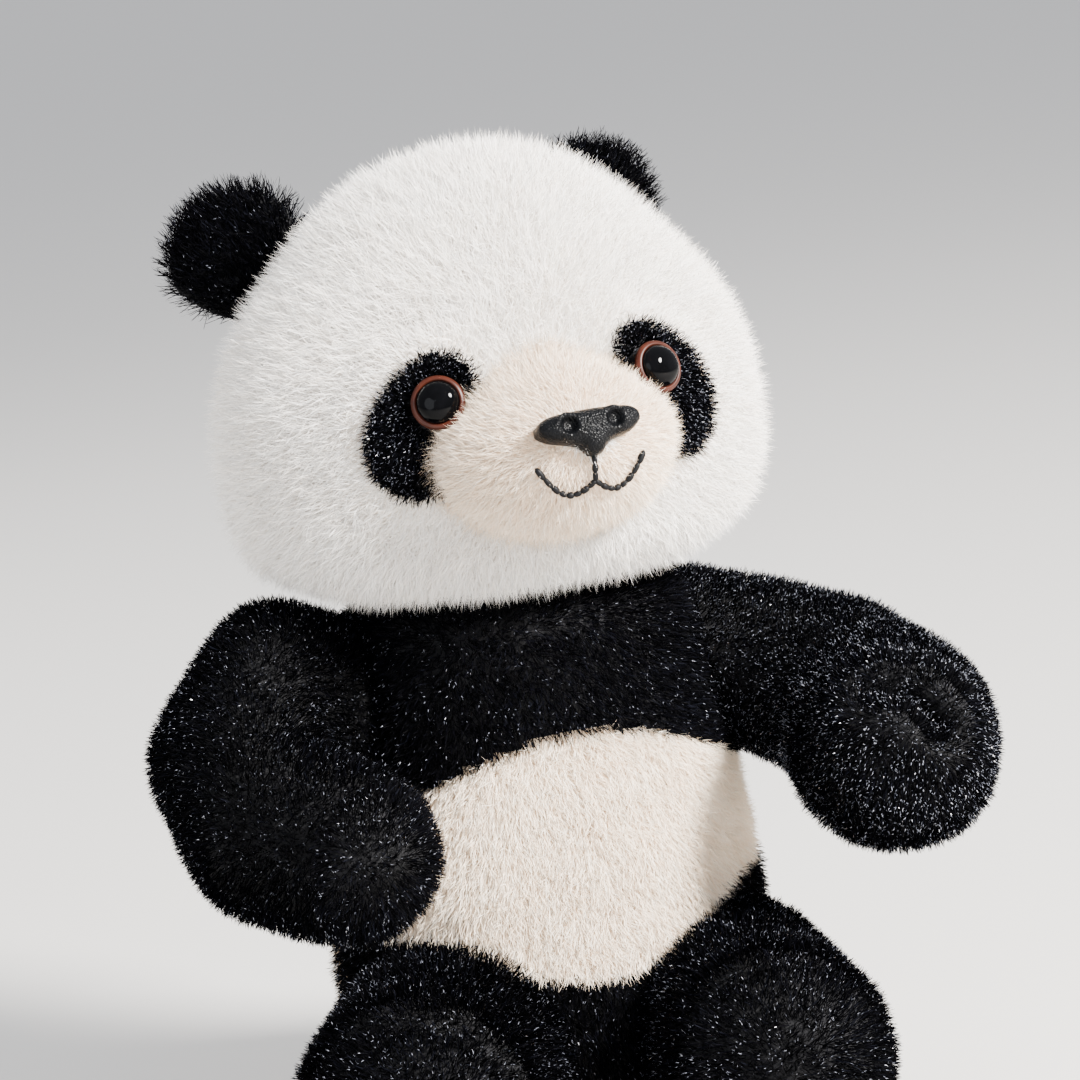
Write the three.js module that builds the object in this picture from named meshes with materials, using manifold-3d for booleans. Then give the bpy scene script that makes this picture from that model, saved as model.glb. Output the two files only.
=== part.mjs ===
// Seated plush panda, millimetres, +Z up. The floor is z = 0, the panda faces -Y and its left is +X.
// Sewn plush panels are thin shells, with stuffing solids inside them and GAP between neighbours.
import * as THREE from 'three';
import { mergeVertices } from 'three/addons/utils/BufferGeometryUtils.js';
import Module from 'manifold-3d';

const wasm = await Module();
wasm.setup();

// ---- driving dimensions -------------------------------------------------------------------
const GAP = 0.3;                                  // between neighbouring pieces
const PLUSH = 1.6;                                // thickness of a sewn panel
const FILL = PLUSH + GAP;                         // inset of the stuffing from the outside
const TIDY = 0.1;                                 // facets flatter than this are merged

const HEAD = [                                    // z, half width, half depth
  [136, 0, 0], [137, 30, 26], [140, 46, 38.5], [148, 61, 50.5], [159, 66.3, 54.3], [173, 67.5, 55.5],
  [188, 66, 54.5], [201, 61, 50.5], [214, 52, 43.5], [227.5, 39.5, 33.5], [237, 26, 22], [242.5, 12, 10],
  [244, 0, 0],
];
const MUZZLE = { centre: [0, -44, 175.5], half: [29, 34, 22], taper: [0.04, 0.55] };
const HEAD_SEAM_Y = 6;                            // face panel in front, two back panels behind
const NECK = { centre: [0, 0, 139], radius: 13, opening: 24, yaw: 30, down: 6, up: 8 };

const EYE = { x: 26, z: 188.5, rim: 6.2, pupil: 4.9, stem: 1.5, washer: 4.8 };
const PATCH = { x: 28, z: 183.2, half: [11.5, 16.8], lean: 26, raise: 0.5 };
const NOSE = { z: 180.8, stem: 2, washer: 6,       // right half of the outline, from the top middle down
  outline: [[0, 4.7], [6, 4.5], [10.8, 3.6], [12.3, 1.4], [9.6, -1.4], [5.6, -2.6], [3, -3.8], [1.8, -5.4],
    [0, -6]],
  // Share of the outline, and height.
  dome: [[1, -7], [1, 1.2], [0.96, 2.2], [0.86, 3.2], [0.66, 4.1], [0.36, 4.6]],
};
const MOUTH = { z: 169.8, top: 175, reach: 12.5, rise: 4.2, dip: 3.6, thread: 0.9 };
const EAR = { base: { left: [37.5, 33, 208], right: [41.5, 29, 209] }, up: [0.5, 0.2, 0.84], turn: 12,
  half: [19.5, 30], thick: 4.4, lift: 1.2, fold: 20 };

const TORSO = [                                   // z, half width, half depth
  [0, 43, 36], [4, 48, 40.5], [12, 52, 44.5], [26, 54, 46.5], [48, 54.5, 47], [72, 53.5, 45],
  [96, 51, 41.5], [116, 48, 38.5], [134, 44, 36], [148, 37, 31], [160, 20, 17],
];
const SEAT_TOP = 5;                               // the seat panel turns up to here
const SIDE_SEAM_Y = 5;                            // front panels meet back panels
const BAND = { middle: 105, side: 85, width: 50 };   // lower edge of the black chest band
const LAP = { middle: 48, side: 62, width: 38 };  // upper edge of the black panel between the legs

const ARM = {                                     // shoulder, two bends and paw: x, y, z, radius
  right: [[-44, 2, 112, 22], [-66, -6, 112.5, 25.5], [-77, -31, 99, 24], [-61, -54, 91, 22.5]],
  left: [[44, 2, 112, 22], [66, -11, 104, 23], [76, -36, 96, 25], [71, -58, 93, 26.5]],
  axis: { left: [-1, -1, 0], right: [-1, 1, 0] }, raise: { left: 36, right: 17 },
};
const LEG = {                                     // stations: distance from the hip, z, half width, height
  hip: [34, -26, 31], root: 31, splay: { left: -8, right: 26 }, inward: { left: 0, right: 15 }, outward: 20,
  size: { left: 0.94, right: 1 },
  stations: [[0, 31, 30.5, 31], [22, 31, 30, 31], [42, 31.5, 29, 31], [58, 33, 30.5, 33]],
  tip: 17,
};

// ---- geometry helpers ---------------------------------------------------------------------
const vec = (a) => new THREE.Vector3(...a);

function solid(geometry) {
  const bare = new THREE.BufferGeometry();
  bare.setAttribute('position', geometry.getAttribute('position').clone());
  if (geometry.index) bare.setIndex(geometry.index.clone());
  const g = mergeVertices(bare, 1e-4);
  return new wasm.Manifold(new wasm.Mesh({
    numProp: 3,
    vertProperties: new Float32Array(g.getAttribute('position').array),
    triVerts: new Uint32Array(g.index.array),
  }));
}

function ellipsoid(centre, half, around = 32, down = 18) {
  const g = new THREE.SphereGeometry(1, around, down);
  g.rotateX(Math.PI / 2);
  g.scale(...half);
  g.translate(...centre);
  return solid(g);
}

const ball = (centre, r, around = 24, down = 14) => ellipsoid(centre, [r, r, r], around, down);

// Closed skin through rings of points, with a fan at each end.
function loft(rings) {
  const n = rings[0].length;
  const points = rings.flat();
  const index = [];
  for (let k = 0; k + 1 < rings.length; k++) {
    for (let i = 0; i < n; i++) {
      const a = k * n + i, b = k * n + ((i + 1) % n);
      index.push(a, b, b + n, a, b + n, a + n);
    }
  }
  const middle = (ring) => ring.reduce((s, p) => s.add(p), new THREE.Vector3()).divideScalar(n);
  const start = points.push(middle(rings[0])) - 1;
  const end = points.push(middle(rings[rings.length - 1])) - 1;
  const last = (rings.length - 1) * n;
  for (let i = 0; i < n; i++) {
    index.push(start, (i + 1) % n, i);
    index.push(end, last + i, last + ((i + 1) % n));
  }
  const g = new THREE.BufferGeometry().setFromPoints(points);
  g.setIndex(index);
  const made = solid(g);
  return made.volume() > 0 ? made : loft(rings.map((r) => [...r].reverse()));
}

function ring(centre, side, up, a, b, n) {
  return Array.from({ length: n }, (_, i) => {
    const t = (2 * Math.PI * i) / n;
    return centre.clone().addScaledVector(side, a * Math.cos(t)).addScaledVector(up, b * Math.sin(t));
  });
}

// A tube through stations of {p, a, b}, closed by a rounded end of length tip.
function limb(stations, tip, n = 12) {
  const curve = new THREE.CatmullRomCurve3(stations.map((s) => s.p));
  const rings = [];
  const steps = 4, dome = 2;
  const frame = (t) => {
    const along = curve.getTangent(t);
    const side = new THREE.Vector3().crossVectors(along, new THREE.Vector3(0, 0, 1)).normalize();
    return { along, side, up: new THREE.Vector3().crossVectors(side, along).normalize() };
  };
  const mix = (t, key) => {
    const x = t * (stations.length - 1), i = Math.min(Math.floor(x), stations.length - 2);
    return THREE.MathUtils.lerp(stations[i][key], stations[i + 1][key], x - i);
  };
  for (let k = 0; k <= steps; k++) {
    const t = k / steps, f = frame(t);
    rings.push(ring(curve.getPoint(t), f.side, f.up, mix(t, 'a'), mix(t, 'b'), n));
  }
  const f = frame(1), tail = stations[stations.length - 1];
  for (let k = 1; k <= dome; k++) {
    const t = (k / (dome + 0.6)) * Math.PI / 2;
    const c = tail.p.clone().addScaledVector(f.along, tip * Math.sin(t));
    rings.push(ring(c, f.side, f.up, tail.a * Math.cos(t), tail.b * Math.cos(t), n));
  }
  return loft(rings);
}

// The half of space on the side of the point that the normal looks to.
function half(point, normal) {
  const g = new THREE.BoxGeometry(900, 900, 900);
  g.translate(0, 0, 450);
  g.applyQuaternion(new THREE.Quaternion().setFromUnitVectors(new THREE.Vector3(0, 0, 1),
    vec(normal).normalize()));
  g.translate(...point);
  return solid(g);
}

function splitAlong(shell, point, normal) {
  const n = vec(normal).normalize(), p = vec(point);
  const near = p.clone().addScaledVector(n, GAP / 2), far = p.clone().addScaledVector(n, -GAP / 2);
  return [shell.intersect(half(near.toArray(), n.toArray())),
    shell.intersect(half(far.toArray(), n.clone().negate().toArray()))];
}

// An outline in the XZ plane pushed through along Y.
function prismY(outline, y0, y1) {
  const shape = new THREE.Shape(outline.map(([x, z]) => new THREE.Vector2(x, z)));
  const g = new THREE.ExtrudeGeometry(shape, { depth: y1 - y0, bevelEnabled: false });
  g.rotateX(Math.PI / 2);
  g.translate(0, y1, 0);
  return solid(g);
}

// A turned piece whose axis leaves the point along the direction.
function turned(profile, point, along, n = 20) {
  const g = new THREE.LatheGeometry(profile.map(([r, h]) => new THREE.Vector2(r, h)), n);
  g.applyQuaternion(new THREE.Quaternion().setFromUnitVectors(new THREE.Vector3(0, 1, 0), along));
  g.translate(...point.toArray());
  return solid(g);
}

const rotated = (body, centre, axis, degrees) => {
  const turn = new THREE.Matrix4().makeRotationAxis(vec(axis).normalize(),
    THREE.MathUtils.degToRad(degrees));
  const m = new THREE.Matrix4().makeTranslation(...centre).multiply(turn)
    .multiply(new THREE.Matrix4().makeTranslation(...centre.map((c) => -c)));
  return body.transform(m.toArray());
};

// A body of stacked ovals, from a table of z, half width and half depth, inset by i along its profile.
function stacked(table, i, across = 30, down = 16) {
  const line = new THREE.CatmullRomCurve3(table.map(([z, a, b]) => vec([a, b, z]))).getSpacedPoints(down);
  const x = new THREE.Vector3(1, 0, 0), y = new THREE.Vector3(0, 1, 0);
  return loft(line.map((p, k) => {
    const before = line[Math.max(0, k - 1)], after = line[Math.min(down, k + 1)];
    const n = new THREE.Vector2(after.z - before.z, before.x - after.x).normalize();
    if (k === 0) n.set(p.x > 1 ? 0.7 : 0, -1);
    if (k === down) n.set(0, 1);
    return ring(new THREE.Vector3(0, 0, p.z - i * n.y), x, y,
      Math.max(p.x - i * n.x, 0.5), Math.max(p.y - i * n.x, 0.5), across);
  }));
}

// Point and outward direction on the front of a body of stacked ovals, at x and z.
function onStack(table, x, z, raise = 0) {
  const k = table.findIndex((row) => row[0] > z), [z0, a0, b0] = table[k - 1], [z1, a1, b1] = table[k];
  const t = (z - z0) / (z1 - z0), a = a0 + t * (a1 - a0), b = b0 + t * (b1 - b0);
  const y = -b * Math.sqrt(1 - (x / a) ** 2);
  const slope = (x * x * (a1 - a0)) / (a ** 3 * (z1 - z0)) + (y * y * (b1 - b0)) / (b ** 3 * (z1 - z0));
  const out = new THREE.Vector3(x / a ** 2, y / b ** 2, -slope).normalize();
  return { point: new THREE.Vector3(x, y, z).addScaledVector(out, raise), out };
}

// Point and outward direction on an ellipsoid, at x and z, on its front.
function onFront({ centre, half: h }, x, z, raise = 0) {
  const dx = (x - centre[0]) / h[0], dz = (z - centre[2]) / h[2];
  const y = -Math.sqrt(Math.max(0, 1 - dx * dx - dz * dz));
  const out = new THREE.Vector3(dx / h[0], y / h[1], dz / h[2]).normalize();
  const point = new THREE.Vector3(x, centre[1] + y * h[1], z).addScaledVector(out, raise);
  return { point, out };
}

// ---- finished pieces ----------------------------------------------------------------------
const panda = new THREE.Group();
panda.name = 'plush_panda';

const WHITE = { color: 0xf4eee6, roughness: 1.0, metalness: 0 };
const CREAM = { color: 0xeadcc8, roughness: 1.0, metalness: 0 };
const BLACK = { color: 0x1b1b20, roughness: 0.95, metalness: 0 };
const FIBRE = { color: 0xf2f2ee, roughness: 1.0, metalness: 0 };
const AMBER = { color: 0x8a4a2a, roughness: 0.25, metalness: 0 };
const GLOSS = { color: 0x0b0b0d, roughness: 0.08, metalness: 0 };
const NOSE_BLACK = { color: 0x1c1e24, roughness: 0.5, metalness: 0 };
const WASHER = { color: 0xdfe2e4, roughness: 0.45, metalness: 0 };
const THREAD = { color: 0x17171a, roughness: 0.8, metalness: 0 };

// The body without crumbs that a cut left loose.
const whole = (body) => body.decompose().reduce((a, b) => (b.volume() > a.volume() ? b : a));

function add(name, body, look) {
  const m = whole(body.asOriginal().simplify(TIDY)).getMesh();
  const g = new THREE.BufferGeometry();
  g.setAttribute('position', new THREE.BufferAttribute(new Float32Array(m.vertProperties), 3));
  g.setIndex(new THREE.BufferAttribute(new Uint32Array(m.triVerts), 1));
  g.computeVertexNormals();
  const mesh = new THREE.Mesh(g, new THREE.MeshStandardMaterial(look));
  mesh.name = name;
  panda.add(mesh);
}

// ---- basic shapes, each inset by i ----------------------------------------------------------
const shrink = (s, i) => s.map((x) => x - i);
const skull = (i) => stacked(HEAD, i, 24, 12);
const trunk = (i) => stacked(TORSO, i, 22, 8);
function snout(i) {                               // narrower towards the top, between the eyes
  const h = shrink(MUZZLE.half, i), [, , mz] = MUZZLE.centre, [p, q] = MUZZLE.taper;
  return ellipsoid(MUZZLE.centre, h, 20, 11).warp((v) => {
    const t = Math.max(0, (v[2] - mz) / h[2]);
    v[0] *= 1 - p * t - q * t * t;
  });
}

const armTube = (side, i) => limb(
  ARM[side].map(([x, y, z, r]) => ({ p: vec([x, y, z]), a: r - i, b: r - i })), ARM[side][3][3] - i);
const armBall = (side, i) => ball(ARM[side][0].slice(0, 3), ARM[side][0][3] - i, 14, 8);
const arm = (side, i) => armTube(side, i).add(armBall(side, i));

const sign = { left: 1, right: -1 };

// Where the leg is at a distance from the hip.
function along(side, s, z) {
  const a = THREE.MathUtils.degToRad(LEG.splay[side]), [hx, hy] = LEG.hip;
  return new THREE.Vector3(sign[side] * (hx + s * Math.sin(a)), hy - s * Math.cos(a), z);
}

const legTube = (side, i) => limb(
  LEG.stations.map(([s, z, w, h]) => ({ p: along(side, s, z * LEG.size[side]), a: w * LEG.size[side] - i,
    b: h * LEG.size[side] - i })), LEG.tip - i);
const hipBall = (side, i) => ball(along(side, 0, LEG.hip[2] * LEG.size[side]).toArray(),
  LEG.root * LEG.size[side] - i, 14, 8);
const leg = (side, i) => legTube(side, i).add(hipBall(side, i)).intersect(half([0, 0, i], [0, 0, 1]));

// Everything the head passes through as it nods and turns.
const headSweep = [-NECK.up, 0, NECK.down].flatMap((n) => [-1, 0, 1].map((w) => {
  const nodded = rotated(stacked(HEAD, -1.6, 16, 9), NECK.centre, [1, 0, 0], n);
  return rotated(nodded, NECK.centre, [0, 0, 1], w * NECK.yaw);
})).reduce((a, b) => a.add(b));

const neckBall = (r) => ball(NECK.centre, r, 16, 9);
const SIDES = ['left', 'right'];

// The room a leg needs in the torso as it swings about its upright hip axis.
function legSweep(side) {
  const [low, high] = [-LEG.inward[side], LEG.outward];
  return [low, (low + high) / 2, high].map((degrees) => rotated(legTube(side, -1.8),
    along(side, 0, 0).toArray(), [0, 0, 1], sign[side] * degrees)).concat([hipBall(side, -1.6)]);
}

// The room an arm needs in the torso as it lifts up and out.
const armSweep = (side) => [0, 0.5, 1].map((k) => rotated(armTube(side, -1.6), ARM[side][0].slice(0, 3),
  ARM.axis[side], k * ARM.raise[side])).concat([armBall(side, -1.3)]);

const sockets = SIDES.flatMap((s) => [...armSweep(s), ...legSweep(s)]).reduce((a, b) => a.add(b));

// ---- torso ----------------------------------------------------------------------------------
const clearOfLimbs = sockets.add(headSweep);
const torsoShell = trunk(0).subtract(trunk(PLUSH)).subtract(clearOfLimbs);
const [aboveSeat, seat] = splitAlong(torsoShell, [0, 0, SEAT_TOP], [0, 0, 1]);
const [torsoBack, torsoFront] = splitAlong(aboveSeat, [0, SIDE_SEAM_Y, 0], [0, 1, 0]);

// All of the space above a curved seam that runs across the front and back.
function above({ middle, side, width }, shift) {
  const edge = Array.from({ length: 13 }, (_, k) => {
    const x = -66 + 11 * k;
    return [x, middle + (side - middle) * Math.min(1, (x / width) ** 2) + shift];
  });
  return prismY([...edge, [66, 200], [-66, 200]], -90, 90);
}

add('chest_band_front', torsoFront.intersect(above(BAND, 0)), BLACK);
add('chest_band_back', torsoBack.intersect(above(BAND, 0)), BLACK);
add('belly_panel', torsoFront.subtract(above(BAND, -GAP)).intersect(above(LAP, 0)), CREAM);
const torsoLow = torsoFront.subtract(above(LAP, -GAP));
const [leftHip, lapAndRight] = splitAlong(torsoLow, [LEG.hip[0], 0, 0], [1, 0, 0]);
const [lap, rightHip] = splitAlong(lapAndRight, [-LEG.hip[0], 0, 0], [1, 0, 0]);
add('lap_panel', lap, BLACK);
add('left_hip_panel', leftHip, BLACK);
add('right_hip_panel', rightHip, BLACK);
const [backLeft, backRight] = splitAlong(torsoBack.subtract(above(BAND, -GAP)), [0, 0, 0], [1, 0, 0]);
add('back_panel_left', backLeft, CREAM);
add('back_panel_right', backRight, CREAM);
add('seat_panel', seat, BLACK);
add('torso_stuffing', trunk(FILL).subtract(clearOfLimbs).subtract(neckBall(NECK.radius + 0.5)), FIBRE);
add('neck_stuffing', neckBall(NECK.radius), FIBRE);

// ---- head -----------------------------------------------------------------------------------
const neckHole = turned([[0, -40], [NECK.opening, -40], [NECK.opening, 25], [0, 25]],
  vec(NECK.centre), new THREE.Vector3(0, 0, 1), 28);
const headShell = skull(0).subtract(skull(PLUSH)).subtract(neckHole);
const [headBack, headFront] = splitAlong(headShell, [0, HEAD_SEAM_Y, 0], [0, 1, 0]);

// Teardrop, leaning out and down from the eye, in the XZ plane.
function patchPrism(s, grow) {
  const lean = THREE.MathUtils.degToRad(PATCH.lean);
  const outline = Array.from({ length: 22 }, (_, k) => {
    const t = (2 * Math.PI * k) / 22;
    const u = (PATCH.half[0] + grow) * Math.cos(t) * (1 - 0.16 * Math.sin(t));
    const w = (PATCH.half[1] + grow) * Math.sin(t);
    const x = PATCH.x + u * Math.cos(lean) - w * Math.sin(lean);
    return [s * x, PATCH.z + u * Math.sin(lean) + w * Math.cos(lean)];
  });
  return prismY(s > 0 ? outline : outline.reverse(), -90, 0);
}

const eyeAt = (s) => onStack(HEAD, s * EYE.x, EYE.z, PATCH.raise);
const noseAt = onFront(MUZZLE, 0, NOSE.z);
const stemHole = (at, r, low, high = 6) => turned([[0, low], [r, low], [r, high], [0, high]],
  at.point, at.out, 14);

let face = headFront.subtract(snout(-GAP));
let padding = skull(FILL).add(snout(FILL)).subtract(neckBall(NECK.radius + 0.5));
let muzzle = snout(0).subtract(snout(PLUSH)).subtract(skull(PLUSH));

for (const name of SIDES) {
  const at = eyeAt(sign[name]);
  face = face.subtract(patchPrism(sign[name], GAP));
  const patch = skull(-PATCH.raise).subtract(skull(PLUSH)).intersect(patchPrism(sign[name], 0))
    .subtract(snout(-GAP)).subtract(stemHole(at, EYE.stem + GAP, -8));
  add(`${name}_eye_patch`, patch, BLACK);
  add(`${name}_eye_iris`, turned([[0, -9], [EYE.stem, -9], [EYE.stem, 0.45], [EYE.rim - 0.4, 0.45],
    [EYE.rim, 0.9], [EYE.rim - 0.3, 1.7], [EYE.pupil + 0.35, 2.3], [EYE.pupil + 0.3, 1.2], [0, 1.2]],
  at.point, at.out, 16), AMBER);
  add(`${name}_eye_pupil`, turned([[0, 1.5], [EYE.pupil - 0.2, 1.5], [EYE.pupil, 2.0], [4.4, 3.1], [3.3, 4.1],
    [1.8, 4.75], [0, 5]], at.point, at.out, 16), GLOSS);
  const under = -PATCH.raise - PLUSH - 1.7;
  add(`${name}_eye_washer`, turned([[EYE.stem + GAP, under - 1.2], [EYE.washer, under - 1.2],
    [EYE.washer, under], [EYE.stem + GAP, under], [EYE.stem + GAP, under - 1.2]], at.point, at.out, 14), WASHER);
  padding = padding.subtract(stemHole(at, EYE.washer + GAP, under - 1.5))
    .subtract(stemHole(at, EYE.stem + GAP, -9.5));
}

// Nose: a rounded triangle, domed, with two ringed nostrils, cut to sit on the muzzle.
const noseSide = new THREE.Vector3(1, 0, 0);
const noseUp = new THREE.Vector3().crossVectors(noseAt.out, noseSide).normalize();
const noseEdge = new THREE.CatmullRomCurve3([...NOSE.outline,
  ...NOSE.outline.slice(1, -1).reverse().map(([u, v]) => [-u, v])].map(([u, v]) => vec([u, v, 0])), true)
  .getSpacedPoints(32).slice(0, 32);
const noseRings = NOSE.dome.map(([k, h]) => noseEdge.map((p) => noseAt.point.clone()
  .addScaledVector(noseSide, k * p.x).addScaledVector(noseUp, k * p.y).addScaledVector(noseAt.out, h)));
let nose = loft(noseRings);
for (const s of [1, -1]) {
  const at = noseAt.point.clone().addScaledVector(noseSide, s * 5.4).addScaledVector(noseUp, 1.3)
    .addScaledVector(noseAt.out, 3.5);
  nose = nose.add(turned([[2.0, -1.5], [3.1, -1.5], [3.1, 0.1], [2.7, 0.6], [2.2, 0.6], [2.0, -1.5]],
    at, noseAt.out, 12));
  nose = nose.subtract(turned([[0, -1.2], [1.4, -0.9], [2.1, 0.4], [2.1, 4], [0, 4]], at, noseAt.out, 12));
}
nose = nose.subtract(snout(-GAP)).add(stemHole(noseAt, NOSE.stem, -11, 2));
add('nose', nose, NOSE_BLACK);
const noseUnder = -PLUSH - 2.2;
add('nose_washer', turned([[NOSE.stem + GAP, noseUnder - 1.2], [NOSE.washer, noseUnder - 1.2],
  [NOSE.washer, noseUnder], [NOSE.stem + GAP, noseUnder], [NOSE.stem + GAP, noseUnder - 1.2]],
noseAt.point, noseAt.out, 14), WASHER);
muzzle = muzzle.subtract(stemHole(noseAt, NOSE.stem + GAP, -12));
padding = padding.subtract(stemHole(noseAt, NOSE.washer + GAP, noseUnder - 1.5))
  .subtract(stemHole(noseAt, NOSE.stem + GAP, -11.5));

// Mouth: one black thread, down from the nose and out along two smiling arcs.
function stitch(points) {
  const rings = points.map(([x, z], k) => {
    const [ax, az] = points[Math.max(0, k - 1)], [bx, bz] = points[Math.min(points.length - 1, k + 1)];
    const { point, out } = onFront(MUZZLE, x, z, MOUTH.thread + GAP - 0.1);
    const along = onFront(MUZZLE, bx, bz).point.sub(onFront(MUZZLE, ax, az).point).normalize();
    const side = new THREE.Vector3().crossVectors(out, along).normalize();
    const r = MOUTH.thread * (k === 0 || k === points.length - 1 ? 0.6 : 1);
    return ring(point, side, out, r, r * 0.8, 6);
  });
  return loft(rings);
}
const fall = Array.from({ length: 4 }, (_, k) => [0, MOUTH.top - ((MOUTH.top - MOUTH.z) * k) / 3]);
const arc = (s) => Array.from({ length: 9 }, (_, k) => {
  const t = k / 8;
  return [s * MOUTH.reach * t, MOUTH.z - MOUTH.dip * Math.sin(Math.PI * t) + MOUTH.rise * t * t];
});
add('mouth_stitching', stitch(fall).add(stitch(arc(1))).add(stitch(arc(-1))).subtract(snout(-0.25))
  .subtract(nose.transform(new THREE.Matrix4().makeTranslation(0, 0, -GAP).toArray())), THREAD);

add('muzzle_panel', muzzle, CREAM);
add('head_face_panel', face, WHITE);
const [headBackLeft, headBackRight] = splitAlong(headBack, [0, 0, 0], [1, 0, 0]);
add('head_back_panel_left', headBackLeft, WHITE);
add('head_back_panel_right', headBackRight, WHITE);
add('head_stuffing', padding, FIBRE);

// ---- ears -----------------------------------------------------------------------------------
for (const name of SIDES) {
  const s = sign[name];
  const up = vec([s * EAR.up[0], EAR.up[1], EAR.up[2]]).normalize();
  const turn = THREE.MathUtils.degToRad(EAR.turn);
  const front = vec([s * Math.sin(turn), -Math.cos(turn), 0]);
  front.addScaledVector(up, -front.dot(up)).normalize();
  const side = new THREE.Vector3().crossVectors(up, front).normalize();
  const [ex, ey, ez] = EAR.base[name];
  const base = vec([s * ex, ey, ez]).addScaledVector(up, EAR.lift);
  // A flat rounded pad, widest a third of the way up, rolled round its base line.
  const heights = [-1, -0.72, -0.3, 0.15, 0.5, 0.76, 0.92, 1];
  const rings = heights.map((h) => {
    const w = EAR.half[0] * Math.sqrt(Math.max(0.02, 1 - Math.max(-0.62, h) ** 2)) * (h < -0.9 ? 0.93 : 1);
    const d = EAR.thick * (h < -0.9 ? 0.35 : Math.sqrt(Math.max(0.06, 1 - Math.max(0, h) ** 2)));
    const c = base.clone().addScaledVector(up, 0.5 * EAR.half[1] * (h + 1));
    return ring(c, side, front, w, d, 16);
  });
  const fold = [-1, -0.5, 0, 0.5, 1].map((k) => rotated(stacked(HEAD, -1.2, 20, 11), base.toArray(),
    side.toArray(), k * EAR.fold));
  const pad = fold.reduce((body, room) => body.subtract(room), loft(rings));
  const [frontPanel, backPanel] = splitAlong(pad, base.toArray(), front.toArray());
  add(`${name}_ear_front_panel`, frontPanel, BLACK);
  add(`${name}_ear_back_panel`, backPanel, BLACK);
}

// ---- arms -----------------------------------------------------------------------------------
for (const side of SIDES) {
  const [a, , b, c] = ARM[side].map((p) => vec(p.slice(0, 3)));
  const normal = b.clone().sub(a).cross(c.clone().sub(a)).normalize();
  const shell = arm(side, 0).subtract(arm(side, PLUSH)).subtract(trunk(4));
  const [one, two] = splitAlong(shell, a.toArray(), normal.toArray());
  const outerIsOne = Math.sign(normal.z) > 0;
  add(`${side}_arm_upper_panel`, outerIsOne ? one : two, BLACK);
  add(`${side}_arm_under_panel`, outerIsOne ? two : one, BLACK);
  add(`${side}_arm_stuffing`, arm(side, FILL), FIBRE);
}

// ---- legs -----------------------------------------------------------------------------------
for (const side of SIDES) {
  const end = LEG.stations[LEG.stations.length - 1][0] + 3;
  const shell = leg(side, 0).subtract(leg(side, PLUSH)).subtract(trunk(4));
  const [sole, rest] = splitAlong(shell, along(side, end, 30).toArray(),
    along(side, end, 0).sub(along(side, 0, 0)).toArray());
  const [upper, under] = splitAlong(rest, [0, 0, LEG.hip[2] * LEG.size[side]], [0, 0, 1]);
  add(`${side}_leg_upper_panel`, upper, BLACK);
  add(`${side}_leg_under_panel`, under, BLACK);
  add(`${side}_foot_sole_panel`, sole, BLACK);
  add(`${side}_leg_stuffing`, leg(side, FILL), FIBRE);
}

export default panda;
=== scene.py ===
import math

import bpy
import numpy as np
from mathutils import Matrix, Vector


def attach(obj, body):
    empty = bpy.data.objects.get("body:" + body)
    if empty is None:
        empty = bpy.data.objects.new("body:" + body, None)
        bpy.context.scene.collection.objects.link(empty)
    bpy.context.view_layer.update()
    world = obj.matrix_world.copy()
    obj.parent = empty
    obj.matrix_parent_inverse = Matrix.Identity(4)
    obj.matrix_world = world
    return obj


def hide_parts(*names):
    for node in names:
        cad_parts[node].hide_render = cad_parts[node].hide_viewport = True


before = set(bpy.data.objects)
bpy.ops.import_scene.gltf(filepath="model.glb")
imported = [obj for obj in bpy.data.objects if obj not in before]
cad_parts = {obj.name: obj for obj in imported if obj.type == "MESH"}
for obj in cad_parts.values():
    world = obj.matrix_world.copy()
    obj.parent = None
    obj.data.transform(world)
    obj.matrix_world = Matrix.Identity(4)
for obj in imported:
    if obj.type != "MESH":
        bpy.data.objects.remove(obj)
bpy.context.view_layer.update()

MM = 0.001
SEED = 20
PRESSURE, CLOTH_STEPS = 4.0, 20                  # how hard the skins are filled, and for how many frames

# ---- camera -------------------------------------------------------------------------------
AIM = Vector((8.4, -2.5, 145.5)) * MM            # the camera looks here, at the chin
AZIMUTH, ELEVATION, ROLL = -17.0, 9.5, 7.0       # degrees
DISTANCE, LENS = 1.0, 139.0                      # metres, and millimetres on a 36 mm sensor

a, e = math.radians(AZIMUTH), math.radians(ELEVATION)
back = Vector((math.sin(a) * math.cos(e), -math.cos(a) * math.cos(e), math.sin(e)))
camera = bpy.data.objects.new("camera", bpy.data.cameras.new("camera"))
bpy.context.scene.collection.objects.link(camera)
camera.data.lens, camera.data.sensor_width = LENS, 36.0
camera.data.clip_start, camera.data.clip_end = 0.01, 50
camera.rotation_mode = "QUATERNION"
camera.location = AIM + back * DISTANCE
camera.rotation_quaternion = (-back).to_track_quat("-Z", "Y") @ Matrix.Rotation(
    math.radians(-ROLL), 4, "Z").to_quaternion()
bpy.context.scene.camera = camera

# ---- shapes, millimetres --------------------------------------------------------------------
HEAD = [                                         # z, half width, half depth
    (136, 0.5, 0.5), (137, 30, 26), (140, 46, 38.5), (148, 61, 50.5), (159, 66.3, 54.3), (173, 67.5, 55.5),
    (188, 66, 54.5), (201, 61, 50.5), (214, 52, 43.5), (227.5, 39.5, 33.5), (237, 26, 22),
    (242.5, 12, 10), (244, 0.5, 0.5)]
TORSO = [
    (0, 40, 34), (2, 46, 39), (6, 50, 42.5), (14, 53, 45.5), (26, 54, 46.5), (48, 54.5, 47), (72, 53.5, 45),
    (96, 51, 41.5), (116, 48, 38.5), (130, 45, 36.5), (137, 40, 33), (141, 30, 25), (142, 0.5, 0.5)]
SNOUT = {"centre": (0, -44, 175.5), "half": (29, 34, 22), "taper": (0.04, 0.55)}
EYE_SET = 1.5                                    # the pupil's foot stands this far off the head
EYE_CLEARING = 5.7                               # no pile grows this near an eye's axis
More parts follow.
